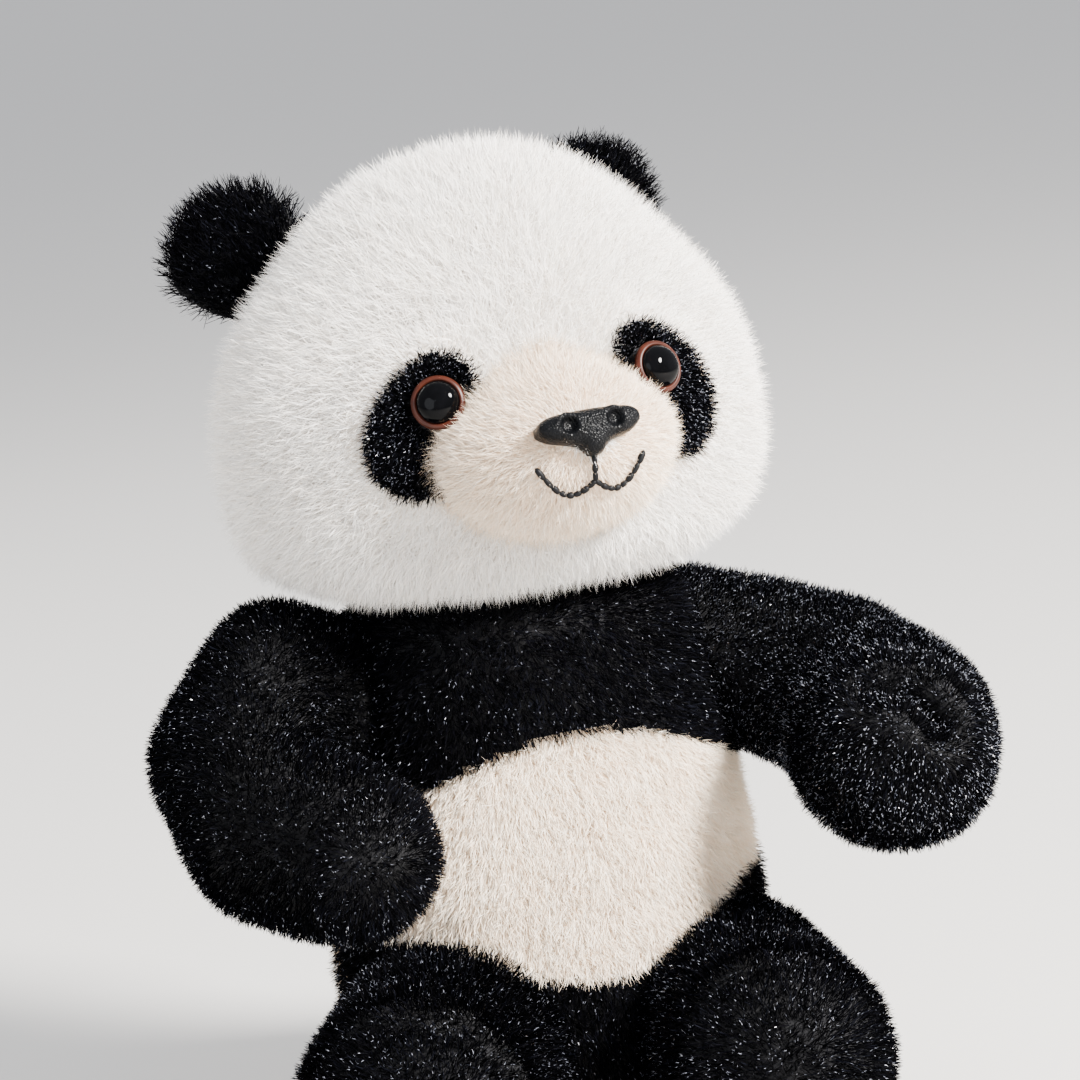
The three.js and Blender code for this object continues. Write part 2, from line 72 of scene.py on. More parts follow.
EYE_RIM = [                                      # radius, height
    (0, 0.2), (1.5, 0.3), (5.4, 0.4), (6.1, 0.8), (6.2, 1.4), (5.9, 2.0), (5.3, 2.3), (4.9, 2.0),
    (4.6, 1.4), (0, 1.2)]
EYE_DOME = [(0, 1.4), (4.4, 1.4), (4.88, 1.7), (4.9, 2.2), (4.55, 3.1), (3.6, 4.1), (2.0, 4.8), (0, 5.05)]
PATCH = {"x": 28, "z": 183.2, "half": (11.5, 16.8), "lean": 26}
BAND = {"middle": 105, "side": 85, "width": 50}  # the seam under the chest band
LAP = {"middle": 48, "side": 62, "width": 38}    # the seam over the lap
SEAT_TOP, SIDE_SEAM_Y, HEAD_SEAM_Y, NECK_Z = 5, 5, 6, 139
ARM = {"left": [(44, 2, 112), (66, -11, 104), (76, -36, 96), (71, -58, 93)],
       "right": [(-44, 2, 112), (-66, -6, 112.5), (-77, -31, 99), (-61, -54, 91)]}
LEG_HIP, LEG_REACH = (34, -26, 30), 74
LEG_SPLAY = {"left": -8, "right": 26}
EAR_ROOT, EAR_UP = {"left": (37.5, 33, 208), "right": (-41.5, 29, 209)}, (0.5, 0.2, 0.84)
HEAD_MIDDLE = (0, 0, 190)
PAW_FOLD = [(63, -71, 110.5), (71.5, -74, 109), (75.5, -79, 101)]
PAW_MIDDLE = {"left": (72, -80, 103), "right": (-51, -72, 88)}
SHOULDER_SWELL = {"centre": (-60, -12, 134), "reach": 24, "move": (-1.5, -1.5, 8)}
MOUTH = {"z": 169.8, "top": 175.5, "reach": 12.5, "rise": 4.2, "dip": 3.6}
STITCH = {"radius": 0.68, "uneven": 0.10, "overlap": 1.18, "off": 0.45, "sides": 10, "rings": 9}
NOSE_Z = 180.8
SIGN = {"left": 1, "right": -1}


def new_object(name, mesh):
    made = bpy.data.objects.new(name, mesh)
    bpy.context.scene.collection.objects.link(made)
    return made


def mesh_from(name, points, faces):
    mesh = bpy.data.meshes.new(name)
    mesh.from_pydata([tuple(p) for p in points], [], [tuple(int(i) for i in f) for f in faces])
    mesh.update()
    return mesh


def coords(mesh):
    flat = np.empty(len(mesh.vertices) * 3)
    mesh.vertices.foreach_get("co", flat)
    return flat.reshape(-1, 3)


def normals(mesh):
    flat = np.empty(len(mesh.vertices) * 3)
    mesh.vertices.foreach_get("normal", flat)
    return flat.reshape(-1, 3)


def set_coords(mesh, points):
    mesh.vertices.foreach_set("co", np.ascontiguousarray(points, np.float32).ravel())
    mesh.update()


def unit(v):
    """The same directions at length 1."""
    return v / np.maximum(np.linalg.norm(v, axis=-1, keepdims=True), 1e-12)


def shade_smooth(obj):
    obj.data.polygons.foreach_set("use_smooth", np.ones(len(obj.data.polygons), bool))
    obj.data.update()


def closed_loft(name, rings):
    """A closed mesh through rings of points, with a fan at each end."""
    n, count = len(rings[0]), len(rings)
    points = [p for r in rings for p in r] + [np.mean(rings[0], 0), np.mean(rings[-1], 0)]
    faces = [(k * n + i, k * n + (i + 1) % n, (k + 1) * n + (i + 1) % n, (k + 1) * n + i)
             for k in range(count - 1) for i in range(n)]
    end = (count - 1) * n
    faces += [((i + 1) % n, i, count * n) for i in range(n)]
    faces += [(end + i, end + (i + 1) % n, count * n + 1) for i in range(n)]
    return mesh_from(name, points, faces)


def stacked(name, table, around=48):
    """A body of stacked ovals, in metres."""
    turn = np.linspace(0, 2 * np.pi, around, endpoint=False)
    return closed_loft(name, [np.stack([w * np.cos(turn), d * np.sin(turn), np.full(around, z)], 1) * MM
                              for z, w, d in table])


def snout_width(t):
    """How the muzzle narrows above its middle, where t goes from 0 to 1 at its top."""
    t = np.maximum(t, 0)
    return np.maximum(1 - SNOUT["taper"][0] * t - SNOUT["taper"][1] * t * t, 0.25)


def snout_share(points, grow=0.0):
    """Below 1 inside the muzzle's oval, grown by grow millimetres."""
    p = points / MM - np.array(SNOUT["centre"])
    half = np.array(SNOUT["half"]) + grow
    wide = snout_width(p[:, 2] / half[2])
    return (p[:, 0] / (half[0] * wide)) ** 2 + (p[:, 1] / half[1]) ** 2 + (p[:, 2] / half[2]) ** 2


def snout_mesh(name, rows=24, around=40):
    """The muzzle's oval as a closed mesh, in metres."""
    turn = np.linspace(0, 2 * np.pi, around, endpoint=False)
    rings = []
    for polar in np.linspace(0, np.pi, rows + 1)[1:-1][::-1]:
        z = math.cos(polar)
        ring = np.stack([np.sin(polar) * np.cos(turn) * snout_width(z), np.sin(polar) * np.sin(turn),
                         np.full(around, z)], 1)
        rings.append((ring * SNOUT["half"] + SNOUT["centre"]) * MM)
    return closed_loft(name, rings)


def on_snout(x, z, raise_by=0.0):
    """Point and outward direction on the front of the muzzle, at x and z in millimetres."""
    c, h = np.array(SNOUT["centre"]), np.array(SNOUT["half"])
    dx, dz = (x - c[0]) / h[0], (z - c[2]) / h[2]
    y = -math.sqrt(max(0.0, 1 - dx * dx - dz * dz))
    out = unit(np.array([dx / h[0], y / h[1], dz / h[2]]))
    return (np.array([x, c[1] + y * h[1], z]) + out * raise_by) * MM, out


# ---- soft skins -------------------------------------------------------------------------------
def copy_of(*nodes):
    """One mesh that holds the CAD nodes' solids."""
    points, faces = [], []
    for n in nodes:
        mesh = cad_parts[n].data
        start = sum(len(p) for p in points)
        points.append(coords(mesh))
        faces += [[start + i for i in f.vertices] for f in mesh.polygons]
    return mesh_from(nodes[0] + "_copy", np.concatenate(points), faces)


def apply_modifiers(obj):
    """Applies the object's modifiers to its mesh."""
    shown = obj.evaluated_get(bpy.context.evaluated_depsgraph_get())
    mesh = bpy.data.meshes.new_from_object(shown)
    obj.modifiers.clear()
    obj.data = mesh


def remeshed(name, meshes, voxel, smooth, inset):
    """A soft closed skin round some overlapping solids, set back by inset millimetres."""
    points = np.concatenate([coords(m) for m in meshes])
    faces, start = [], 0
    for m in meshes:
        faces += [[start + i for i in f.vertices] for f in m.polygons]
        start += len(m.vertices)
    obj = new_object(name, mesh_from(name, points, faces))
    remesh = obj.modifiers.new("remesh", "REMESH")
    remesh.mode, remesh.voxel_size = "VOXEL", voxel * MM
    soften = obj.modifiers.new("smooth", "SMOOTH")
    soften.factor, soften.iterations = 0.5, smooth
    apply_modifiers(obj)
    set_coords(obj.data, coords(obj.data) - normals(obj.data) * inset * MM)
    return obj


def stuffed(obj, cap):
    """Fills the skin with pressure, as cloth, and keeps each point within cap millimetres of its place."""
    before = coords(obj.data)
    cloth = obj.modifiers.new("cloth", "CLOTH")
    cloth.settings.quality = 4
    cloth.settings.use_pressure = True
    cloth.settings.uniform_pressure_force = PRESSURE
    cloth.settings.effector_weights.gravity = 0
    cloth.collision_settings.use_collision = False
    cloth.point_cache.frame_end = CLOTH_STEPS
    for frame_number in range(1, CLOTH_STEPS + 1):
        bpy.context.scene.frame_set(frame_number)
    apply_modifiers(obj)
    bpy.context.scene.frame_set(1)
    move = coords(obj.data) - before
    far = np.linalg.norm(move, axis=1, keepdims=True)
    set_coords(obj.data, before + move * np.minimum(1, cap * MM / np.maximum(far, 1e-9)))


def waves(points, size, seed, count=7):
    """Smooth noise from -1 to 1 with features about size millimetres across."""
    rng = np.random.default_rng(seed)
    k = rng.normal(size=(count, 3)) * (2.2 / (size * MM))
    phase = rng.uniform(0, 2 * np.pi, count)
    return np.sin(points @ k.T + phase).sum(1) / math.sqrt(count) * 0.9


def finish_skin(obj, lumps, seed):
    """Subdivides a skin once and gives it the slight lumps of hand stuffing."""
    sub = obj.modifiers.new("sub", "SUBSURF")
    sub.levels = sub.render_levels = 1
    apply_modifiers(obj)
    p = coords(obj.data)
    move = waves(p, 24, seed) * lumps + waves(p, 9, seed + 1) * lumps * 0.35
    set_coords(obj.data, p + normals(obj.data) * (move * MM)[:, None])
    shade_smooth(obj)


def swell(skin, centre, reach, move):
    """Moves the skin round a point, most at the point itself. Millimetres."""
    p = coords(skin.data)
    share = np.exp(-(np.linalg.norm(p - np.array(centre) * MM, axis=1) / (reach * MM)) ** 2)
    set_coords(skin.data, p + share[:, None] * np.array(move) * MM)


def floor_at(obj, lowest=0.6):
    """Rests the skin on the floor, which leaves it flat underneath."""
    p = coords(obj.data)
    p[:, 2] = np.maximum(p[:, 2], lowest * MM)
    set_coords(obj.data, p)


# ---- materials ----------------------------------------------------------------------------------
def principled(name):
    m = bpy.data.materials.new(name)
    m.use_nodes = True
    return m, m.node_tree, m.node_tree.nodes["Principled BSDF"]


def fibre(name, colour, rough, specular, sheen=0.0):
    """One shade of pile fibre: each strand has one dyed colour."""
    m, _, p = principled(name)
    p.inputs["Base Color"].default_value = (*colour, 1)
    p.inputs["Roughness"].default_value = rough
    p.inputs["Specular IOR Level"].default_value = specular
    if sheen:
        p.inputs["Sheen Weight"].default_value = sheen
        p.inputs["Sheen Roughness"].default_value = 0.4
    return m


def backing(name, dark, light, scale=900.0, bump=0.4):
    """The knitted cloth that the pile grows from, mottled, with a fine knit in relief."""
    m, tree, p = principled(name)
    where = tree.nodes.new("ShaderNodeTexCoord")
    mottle = tree.nodes.new("ShaderNodeTexNoise")
    mottle.inputs["Scale"].default_value = 60
    mottle.inputs["Detail"].default_value = 6
    ramp = tree.nodes.new("ShaderNodeValToRGB")
    ramp.color_ramp.elements[0].color = (*dark, 1)
    ramp.color_ramp.elements[1].color = (*light, 1)
    ramp.color_ramp.elements[0].position, ramp.color_ramp.elements[1].position = 0.3, 0.7
    knit = tree.nodes.new("ShaderNodeTexVoronoi")
    knit.inputs["Scale"].default_value = scale
    relief = tree.nodes.new("ShaderNodeBump")
    relief.inputs["Strength"].default_value = bump
    relief.inputs["Distance"].default_value = 0.0004
    for node in (mottle, knit):
        tree.links.new(where.outputs["Object"], node.inputs["Vector"])
    tree.links.new(mottle.outputs["Fac"], ramp.inputs["Fac"])
    tree.links.new(ramp.outputs["Color"], p.inputs["Base Color"])
    tree.links.new(knit.outputs["Distance"], relief.inputs["Height"])
    tree.links.new(relief.outputs["Normal"], p.inputs["Normal"])
    p.inputs["Roughness"].default_value = 0.95
    return m


def shades(name, colours, rough, specular, sheen=0.0):
    """A dye's shades, from the most to the least common strand."""
    return [fibre(f"{name}_{k}", c, rough, specular, sheen) for k, c in enumerate(colours)]


WHITE_PILE = shades("white_pile", [(0.97, 0.94, 0.90), (0.95, 0.90, 0.84), (0.98, 0.96, 0.93),
                                   (0.92, 0.85, 0.77)], 0.7, 0.2, 0.25)
CREAM_PILE = shades("cream_pile", [(0.93, 0.77, 0.60), (0.96, 0.83, 0.69), (0.88, 0.69, 0.50),
                                   (0.94, 0.86, 0.76)], 0.7, 0.2, 0.15)
BELLY_PILE = shades("belly_pile", [(0.96, 0.83, 0.68), (0.98, 0.88, 0.75), (0.93, 0.77, 0.60),
                                   (0.98, 0.92, 0.82)], 0.7, 0.2, 0.15)
BLACK_PILE = shades("black_pile", [(0.0006, 0.0006, 0.0009), (0.0012, 0.0012, 0.0018),
                                   (0.002, 0.002, 0.0034), (0.005, 0.0055, 0.009)], 0.65, 0.03)
# Painted highlight: a pale grey-blue tip colour on some black strands stands in for light glinting off fibre
# tips; the tips are also glossy
PAINTED_GLINT = fibre("black_pile_painted_glint", (0.16, 0.17, 0.21), 0.3, 1.0)
WHITE_BACK = backing("white_backing", (0.62, 0.52, 0.43), (0.86, 0.80, 0.72))
CREAM_BACK = backing("cream_backing", (0.58, 0.44, 0.31), (0.78, 0.66, 0.53))
BLACK_BACK = backing("black_backing", (0.001, 0.001, 0.0015), (0.004, 0.004, 0.006))
BLACK_FUR = {"pile": BLACK_PILE, "painted_glints": PAINTED_GLINT, "bend": 0.84, "mess": 0.55}

# ---- fur ------------------------------------------------------------------------------------
SHARES = (0.42, 0.3, 0.2, 0.08)                  # how common each shade is
TWIST = 0.8                                      # radians that a blade's flat side turns about its length
TUFT_HASH, TUFTS = (73856093, 19349663, 83492791), 100003   # primes that number the tufts


def sampled(mesh, per_mm2, rng):
    """Points spread evenly over a mesh, with their smooth normals."""
    mesh.calc_loop_triangles()
    tri = np.empty(len(mesh.loop_triangles) * 3, int)
    mesh.loop_triangles.foreach_get("vertices", tri)
    tri = tri.reshape(-1, 3)
    p, n = coords(mesh), normals(mesh)
    a, b, c = p[tri[:, 0]], p[tri[:, 1]], p[tri[:, 2]]
    area = np.linalg.norm(np.cross(b - a, c - a), axis=1) / 2
    count = int(area.sum() / MM ** 2 * per_mm2)
    pick = np.searchsorted(np.cumsum(area) / area.sum(), (np.arange(count) + rng.random(count)) / count)
    pick = np.clip(pick, 0, len(tri) - 1)
    u, v = rng.random(count), rng.random(count)
    over = u + v > 1
    u[over], v[over] = 1 - u[over], 1 - v[over]
    w = np.stack([1 - u - v, u, v], 1)[:, :, None]
    return (p[tri[pick]] * w).sum(1), unit((n[tri[pick]] * w).sum(1))


def tangent(direction, n):
    """The direction laid flat on a surface with the normal n."""
    return unit(direction - (direction * n).sum(1, keepdims=True) * n)


def plant(name, skin, pile, where, length, comb, per_mm2, wide, mess, seed, lean=0.8, clump=3.0,
          bend=0.5, painted_glints=None, painted_glint_share=0.0):
    """Fur as tapered blades of three triangles. where, length and comb take points and normals.
    The blade bends at a share of its length, and some blades have a pale painted highlight on the tip from
    there on.
    lean lays the pile along the comb, mess scatters it, and clump is the width of its tufts."""
    rng = np.random.default_rng(SEED * 1000 + seed)
    root, n = sampled(skin.data, per_mm2, rng)
    kept = where(root, n)
    root, n = root[kept], n[kept]
    count = len(root)
    size = length(root, n) * MM * rng.uniform(0.72, 1.15, count)
    flow = tangent(comb(root, n) + rng.normal(size=(count, 3)) * 1e-6, n)
    # Neighbouring strands share a lean, as tufts do.
    cell = np.floor(root / (clump * MM) + 0.35 * np.sin(root[:, [1, 2, 0]] / (clump * MM) * 1.7)).astype(int)
    key = (cell @ np.array(TUFT_HASH)) % TUFTS
    tuft = np.random.default_rng(seed + 5).normal(size=(TUFTS, 3))[key]
    tuft = tangent(tuft, n) * 0.5 * (0.5 + np.abs(tuft[:, :1]))
    drift = np.stack([waves(root, 14, seed + 11 + k) for k in range(3)], 1)
    scatter = rng.normal(size=(count, 3))
    way = n + (flow + tuft * 0.55 + tangent(drift, n) * 0.3) * lean + scatter * mess * 0.5
    first = unit(way)
    second = unit(way + flow * lean * 0.55 + scatter * mess * 0.5 - n * 0.25)
    middle = root + first * size[:, None] * bend
    tip = middle + second * size[:, None] * (1 - bend)
    face = unit(n - (n * first).sum(1, keepdims=True) * first + rng.normal(size=(count, 3)) * 0.02)
    side = np.cross(first, face)
    turn = rng.normal(size=count) * TWIST
    side = side * np.cos(turn)[:, None] + face * np.sin(turn)[:, None]
    half = wide * MM * rng.uniform(0.7, 1.2, count)[:, None] * side
    points = np.stack([root - half, root + half, middle - half * 0.8, middle + half * 0.8, tip], 1)
    points[:, :, 2] = np.maximum(points[:, :, 2], 0.2 * MM)
    base = np.arange(count)[:, None] * 5
    corner = np.concatenate([base + [0, 1, 3], base + [0, 3, 2], base + [2, 3, 4]], 1).reshape(-1)
    mesh = bpy.data.meshes.new(name)
    mesh.vertices.add(count * 5)
    mesh.vertices.foreach_set("co", points.astype(np.float32).ravel())
    mesh.loops.add(len(corner))
    mesh.loops.foreach_set("vertex_index", corner.astype(np.int32))
    mesh.polygons.add(count * 3)
    mesh.polygons.foreach_set("loop_start", np.arange(count * 3, dtype=np.int32) * 3)
    tone = np.clip(rng.random(count) + waves(root, 10, seed + 3) * 0.05, 0, 0.9999)
    shade = np.minimum(np.searchsorted(np.cumsum(SHARES), tone), len(pile) - 1)
    for m in pile + ([painted_glints] if painted_glints else []):
        mesh.materials.append(m)
    shade = np.repeat(shade, 3).reshape(-1, 3)
    # Painted highlights: a share of the blades get the pale glint colour on their tips.
    if painted_glints:
        painted_tip_share = painted_glint_share(root) if callable(painted_glint_share) else painted_glint_share
        shade[rng.random(count) < painted_tip_share, 2] = len(pile)
    mesh.polygons.foreach_set("material_index", shade.ravel().astype(np.int32))
    mesh.polygons.foreach_set("use_smooth", np.ones(count * 3, bool))
    mesh.update(calc_edges=True)
    return new_object(name, mesh)


def everywhere(p, n):
    return np.ones(len(p), bool)


def constant(value):
    """The same length everywhere."""
    return lambda p, n: np.full(len(p), float(value))


def toward(direction):
    """Combs one way everywhere."""
    return lambda p, n: np.tile(np.array(direction, float), (len(p), 1))


def away_from(point, pull=(0, 0, 0)):
    """Combs away from a point, with a pull of its own such as gravity's."""
    return lambda p, n: unit(p - np.array(point) * MM) + np.array(pull)


# ---- head ---------------------------------------------------------------------------------------
def patch_share(p, side, grow=0.0):
    """Below 1 inside the eye patch's teardrop, seen from the front, grown by grow millimetres."""
    lean = math.radians(PATCH["lean"])
    x, z = p[:, 0] / MM * SIGN[side] - PATCH["x"], p[:, 2] / MM - PATCH["z"]
    u = x * math.cos(lean) + z * math.sin(lean)
    w = -x * math.sin(lean) + z * math.cos(lean)
    a, b = PATCH["half"][0] + grow, PATCH["half"][1] + grow
    return (u / (a * (1 - 0.16 * w / b))) ** 2 + (w / b) ** 2


def in_patch(p, side, grow=0.0):
    return (patch_share(p, side, grow) < 1) & (p[:, 1] < 0)


def in_snout(p, grow=0.0):
    return (snout_share(p, grow) < 1.0) & (p[:, 1] < 0)


def clear_of_eyes(p):
    """No pile grows under an eye."""
    free = np.ones(len(p), bool)
    for at, out in EYES.values():
        away = p - at
        radius = np.linalg.norm(away - (away @ out)[:, None] * out, axis=1)
        free &= (radius > EYE_CLEARING * MM) | (p[:, 1] > 0)
    return free


def in_face(p):
    return (p[:, 1] < HEAD_SEAM_Y * MM) & ~in_snout(p, -1.5) & ~in_patch(p, "left") & ~in_patch(p, "right")


def eye_frame(side):
    """Where the CAD eye sits: the foot of its axis on the head, and the way it looks."""
    pupil, iris = (coords(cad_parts[f"{side}_eye_{k}"].data) for k in ("pupil", "iris"))
    c = (pupil.min(0) + pupil.max(0)) / 2
    out = unit(np.mean(pupil, 0) - np.mean(iris, 0))
    low = ((pupil - c) @ out).min()
    return c + out * (low - EYE_SET * MM), out


head_skin = remeshed("head_skin", [stacked("skull", HEAD), snout_mesh("snout")],
                     voxel=4.0, smooth=3, inset=4.6)
stuffed(head_skin, cap=2.0)
finish_skin(head_skin, lumps=0.5, seed=31)

EYES = {side: eye_frame(side) for side in SIGN}
NOSE_AT, _ = on_snout(0, NOSE_Z)


def face_length(p, n):
    """Short round the eyes and the muzzle, long on the crown and cheeks."""
    near = np.clip(snout_share(p) - 1, 0, 1.2) / 1.2
    for side in SIGN:
        near = np.minimum(near, 1.9 * np.clip((patch_share(p, side) - 1) / 1.6, 0, 1) - 0.8)
    return 4.8 + 2.2 * near


def snout_length(p, n):
    """Shortest at the nose and along the mouth, longer towards the face."""
    away = np.linalg.norm(p - NOSE_AT, axis=1) / MM
    return 2.6 + np.clip((away - 7) / 20, 0, 1) * 2.8


def raise_short_pile(mesh):
    """The pile of the muzzle and the eye patches is short, so their backing lies nearer the surface."""
    p = coords(mesh)
    front = p[:, 1] < -0.02
    share, centre = snout_share(p), np.array(SNOUT["centre"]) * MM
    muzzle = np.clip((1.12 - share) / 0.25, 0, 1) * front
    away = np.clip(np.linalg.norm(p - NOSE_AT, axis=1) / MM / 26, 0, 1)
    outer = centre + (p - centre) / np.sqrt(share)[:, None]
    backing_at = outer - unit(p - centre) * ((1.0 + 1.8 * away) * MM)[:, None]
    lift = np.zeros(len(p))
    for side in SIGN:
        patch = np.clip((2.3 - patch_share(p, side)) / 1.2, 0, 1) * front
        lift = np.maximum(lift, patch * (1 - muzzle) * 2.4)
    set_coords(mesh, p + (backing_at - p) * muzzle[:, None] + normals(mesh) * (lift * MM)[:, None])


raise_short_pile(head_skin.data)


def paint(skin, materials, pick):
    """Gives each face of the skin the backing cloth of its panel."""
    for m in materials:
        skin.data.materials.append(m)
    centres = np.empty(len(skin.data.polygons) * 3)
    skin.data.polygons.foreach_get("center", centres)
    skin.data.polygons.foreach_set("material_index", pick(centres.reshape(-1, 3)).astype(np.int32))
    skin.data.update()


def head_panel(c):
    """Which backing the head's skin has: 0 white, 1 cream on the muzzle, 2 black under the patches."""
    patch = in_patch(c, "left") | in_patch(c, "right")
    return np.where(in_snout(c, -1), 1, np.where(patch, 2, 0))


paint(head_skin, [WHITE_BACK, CREAM_BACK, BLACK_BACK], head_panel)


def add(obj, body, slot, *nodes):
    """Joins a piece to its body and hides the CAD nodes it stands for; slot, its finish, is not used."""
    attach(obj, body)
    if nodes:
        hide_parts(*nodes)


add(head_skin, "head", "white_plush", "head_stuffing")

nose_mm = NOSE_AT / MM
for k, side in enumerate(SIGN):
    add(plant(f"head_face_{side}_fur", head_skin, WHITE_PILE,
              where=lambda p, n, s=SIGN[side]: in_face(p) & clear_of_eyes(p) & (p[:, 0] * s >= 0),
              length=face_length, comb=away_from(nose_mm, (0, 0, -0.3)), per_mm2=5.2, wide=0.095,
              lean=0.5, mess=0.7, clump=3.2, seed=1 + k),
        "head", "white_plush", "head_face_panel")
    add(plant(f"head_back_{side}_fur", head_skin, WHITE_PILE,
              where=lambda p, n, s=SIGN[side]: (p[:, 1] >= HEAD_SEAM_Y * MM) & (p[:, 0] * s >= 0),
              length=constant(7.0), comb=toward((0, 0.3, -1)), per_mm2=3.4, wide=0.12, lean=0.6, mess=0.75,
              seed=3 + k),
        "head", "white_plush", f"head_back_panel_{side}")
    eye_mm = EYES[side][0] / MM
    add(plant(f"{side}_eye_patch_fur", head_skin,
              where=lambda p, n, s=side: in_patch(p, s) & ~in_snout(p, -1.0) & clear_of_eyes(p),
              length=constant(3.7), comb=away_from(eye_mm, (0, 0, -0.2)), per_mm2=9.5, wide=0.1, lean=0.35,
              clump=1.5, painted_glint_share=0.2, seed=5 + k, **BLACK_FUR),
        "head", "black_plush", f"{side}_eye_patch")
add(plant("muzzle_fur", head_skin, CREAM_PILE, where=lambda p, n: in_snout(p, -1.0) & clear_of_eyes(p),
          length=snout_length, comb=away_from(nose_mm), per_mm2=8.0, wide=0.085, lean=0.6, mess=0.6,
          clump=2.4, seed=8),
    "head", "cream_plush", "muzzle_panel")

# ---- ears ---------------------------------------------------------------------------------------
for k, side in enumerate(SIGN):
    skin = remeshed(f"{side}_ear_skin", [copy_of(f"{side}_ear_front_panel", f"{side}_ear_back_panel")],
                    voxel=2.4, smooth=3, inset=1.8)
    finish_skin(skin, lumps=0.4, seed=41 + k)
    root = np.array(EAR_ROOT[side])
    swell(skin, centre=root, reach=13, move=unit(HEAD_MIDDLE - root) * 7)   # into the head's pile
    skin.data.materials.append(BLACK_BACK)
    add(skin, f"{side}_ear", "black_plush", f"{side}_ear_front_panel", f"{side}_ear_back_panel")
    up = (SIGN[side] * EAR_UP[0], EAR_UP[1], EAR_UP[2])
    add(plant(f"{side}_ear_fur", skin, where=everywhere, length=constant(5.5), comb=toward(up), per_mm2=5.5,
              wide=0.1, lean=0.6, clump=2.5, painted_glint_share=0.03, seed=10 + k, **BLACK_FUR),
        f"{side}_ear", "black_plush")

# ---- torso --------------------------------------------------------------------------------------
torso_skin = remeshed("torso_skin", [stacked("trunk", TORSO)], voxel=4.5, smooth=3, inset=3.6)
stuffed(torso_skin, cap=2.5)
finish_skin(torso_skin, lumps=0.7, seed=51)
floor_at(torso_skin)


def above(p, edge):
    """Above a curved seam that runs across the front and back."""
    x, z = p[:, 0] / MM, p[:, 2] / MM
    return z > edge["middle"] + (edge["side"] - edge["middle"]) * np.minimum(1, (x / edge["width"]) ** 2)


def in_belly(p):
    return (p[:, 1] < SIDE_SEAM_Y * MM) & ~above(p, BAND) & above(p, LAP) & (p[:, 2] > SEAT_TOP * MM)


def in_lap(p):
    return (p[:, 1] < SIDE_SEAM_Y * MM) & ~above(p, LAP) & (p[:, 2] > SEAT_TOP * MM)


def in_back(p):
    return (p[:, 1] >= SIDE_SEAM_Y * MM) & ~above(p, BAND) & (p[:, 2] > SEAT_TOP * MM)


paint(torso_skin, [BLACK_BACK, CREAM_BACK], lambda c: (in_belly(c) | in_back(c)).astype(int))
add(torso_skin, "torso", "black_plush", "torso_stuffing")
down = away_from((0, 0, 170), (0, 0, -1.0))
add(plant("chest_band_fur", torso_skin, where=lambda p, n: above(p, BAND) & (p[:, 2] < NECK_Z * MM),
          length=constant(4.6), comb=down, per_mm2=4.6, wide=0.1, lean=0.45, clump=2.4, painted_glint_share=0.05,
          seed=20, **BLACK_FUR),
    "torso", "black_plush", "chest_band_front", "chest_band_back")
add(plant("belly_fur", torso_skin, BELLY_PILE, where=lambda p, n: in_belly(p), length=constant(4.4),
          comb=down, per_mm2=6.0, wide=0.105, lean=0.7, mess=0.5, clump=2.6, seed=21),
    "torso", "cream_plush", "belly_panel")
add(plant("back_fur", torso_skin, BELLY_PILE, where=lambda p, n: in_back(p), length=constant(5.0),
          comb=down, per_mm2=3.4, wide=0.11, lean=0.6, mess=0.65, seed=22),
    "torso", "cream_plush", "back_panel_left", "back_panel_right")
add(plant("lap_fur", torso_skin, where=lambda p, n: in_lap(p), length=constant(4.6), comb=down,
          per_mm2=3.8, wide=0.11, lean=0.45, painted_glint_share=0.08, seed=23, **BLACK_FUR),
    "torso", "black_plush", "lap_panel", "left_hip_panel", "right_hip_panel")
add(plant("seat_fur", torso_skin, where=lambda p, n: p[:, 2] <= SEAT_TOP * MM, length=constant(3.0),
          comb=toward((0, 1, 0)), per_mm2=1.2, wide=0.15, seed=24, **BLACK_FUR),
    "torso", "black_plush", "seat_panel")


# ---- arms ---------------------------------------------------------------------------------------
def nearest(line, p):
    """How far, in metres, each point is from a line of points, and the line's direction there."""
    line = np.array(line, float) * MM
    best, way = np.full(len(p), 1e9), np.zeros_like(p)
    for a, b in zip(line[:-1], line[1:]):
        d = b - a
        t = np.clip((p - a) @ d / (d @ d), 0, 1)
        far = np.linalg.norm(p - a - t[:, None] * d, axis=1)
        near = far < best
        best[near], way[near] = far[near], unit(d)
    return best, way


def limb_comb(line, end, radius):
    """Combs along the limb, but out from the middle of its end, where the end has the given radius."""
    def comb(p, n):
        away = p - np.array(end) * MM
        share = np.clip(1.35 - np.linalg.norm(away, axis=1) / (radius * MM), 0, 1)[:, None]
        return nearest(line, p)[1] * (1 - share) + unit(away) * share
    return comb


def fold(skin, line, width, depth):
    """Presses a stitched fold into the skin, with a slight swell on both sides of it."""
    p = coords(skin.data)
    far = nearest(line, p)[0] / (width * MM)
    push = depth * np.exp(-far ** 2) - depth * 0.22 * np.exp(-((far - 2.1) / 0.9) ** 2)
    set_coords(skin.data, p - normals(skin.data) * (push * MM)[:, None])


def fold_free_painted_highlights(p):
    """The share of painted highlights, pale tips, on the left arm: none inside the fold of the paw, so the
    fold is left dark as painted shade.
    """
    return 0.3 * (1 - np.exp(-(nearest(PAW_FOLD, p)[0] / (3.4 * MM)) ** 2))


